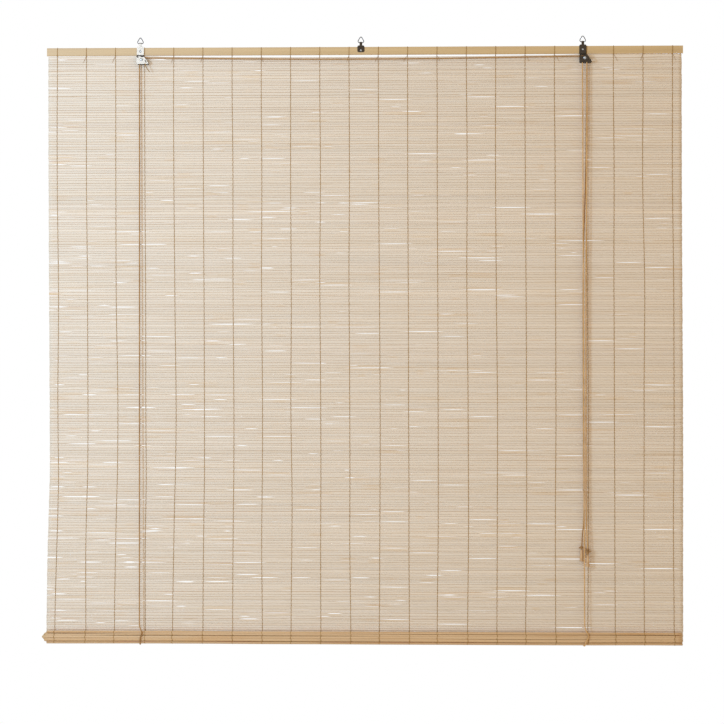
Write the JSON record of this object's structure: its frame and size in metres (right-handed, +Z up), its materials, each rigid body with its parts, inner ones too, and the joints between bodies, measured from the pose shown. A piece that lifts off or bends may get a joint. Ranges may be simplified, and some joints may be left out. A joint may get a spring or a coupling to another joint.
{
  "type": "bamboo roll up blind",
  "caption": "Wide bamboo roll up blind of woven sticks on a flat head rail with wire hanging rings, a cord lock, lift cords, wooden tassels and a small roll at its foot.",
  "frame": {"origin": "point inside the middle hanging ring where it bears on its hook", "axes": "+X right along the head rail, +Y back to the wall, +Z up"},
  "size_m": [1.814, 0.0328, 1.7224],
  "materials": {
    "bamboo_slat": "smooth split bamboo, lightly varnished",
    "bamboo_sticks": "raw split bamboo sticks",
    "warp_thread": "twisted cotton thread",
    "lift_cord": "braided cord",
    "plated_steel": "nickel plated pressed steel",
    "steel_wire": "nickel plated wire and screws",
    "turned_wood": "varnished turned wood"
  },
  "bodies": {
    "blind": {"head_rail": "bamboo_slat", "bottom_rail": "bamboo_slat", "bamboo_mat": "bamboo_sticks", "mat_roll": "bamboo_sticks", "warp_threads": "warp_thread", "middle_hanger_plate": "plated_steel", "left_pulley_bracket": "plated_steel", "left_pulley_back_cheek": "plated_steel", "left_pulley_axle": "plated_steel", "left_pulley_spacer": "plated_steel", "cord_lock_bracket": "plated_steel", "cord_lock_back_cheek": "plated_steel", "cord_lock_axle": "plated_steel", "cord_lock_spacer": "plated_steel", "hanger_screws": "steel_wire", "cord_staples": "steel_wire", "anchor_knots": "lift_cord", "left_lift_cord": "lift_cord", "right_lift_cord": "lift_cord", "left_pull_knot": "lift_cord", "right_pull_knot": "lift_cord", "left_stop_knot": "lift_cord", "right_stop_knot": "lift_cord", "left_tassel": "turned_wood", "right_tassel": "turned_wood"},
    "left_ring": {"left_hanging_ring": "steel_wire"},
    "middle_ring": {"middle_hanging_ring": "steel_wire"},
    "right_ring": {"right_hanging_ring": "steel_wire"},
    "left_wheel": {"left_pulley_wheel": "plated_steel"},
    "lock_wheel": {"cord_lock_wheel": "plated_steel"},
    "lock_roller": {"cord_lock_roller": "plated_steel"}
  },
  "joints": [
    {"name": "left_ring_swing", "type": "hinge", "parent": "blind", "child": "left_ring", "pos_m": [-0.626, 0, -0.0149], "axis": [1, 0, 0], "range_deg": [-100, 100]},
    {"name": "middle_ring_swing", "type": "hinge", "parent": "blind", "child": "middle_ring", "pos_m": [0, 0, -0.0149], "axis": [1, 0, 0], "range_deg": [-100, 100]},
    {"name": "right_ring_swing", "type": "hinge", "parent": "blind", "child": "right_ring", "pos_m": [0.626, 0, -0.0149], "axis": [1, 0, 0], "range_deg": [-100, 100]},
    {"name": "left_wheel_spin", "type": "hinge", "parent": "blind", "child": "left_wheel", "pos_m": [-0.6216, -0.008, -0.0625], "axis": [0, 1, 0], "continuous": true},
    {"name": "lock_wheel_spin", "type": "hinge", "parent": "blind", "child": "lock_wheel", "pos_m": [0.6304, -0.008, -0.0625], "axis": [0, 1, 0], "continuous": true},
    {"name": "lock_roller_slide", "type": "slide", "parent": "blind", "child": "lock_roller", "axis": [-0.5547, 0, 0.8321], "range_m": [0, 0.005]}
  ]
}
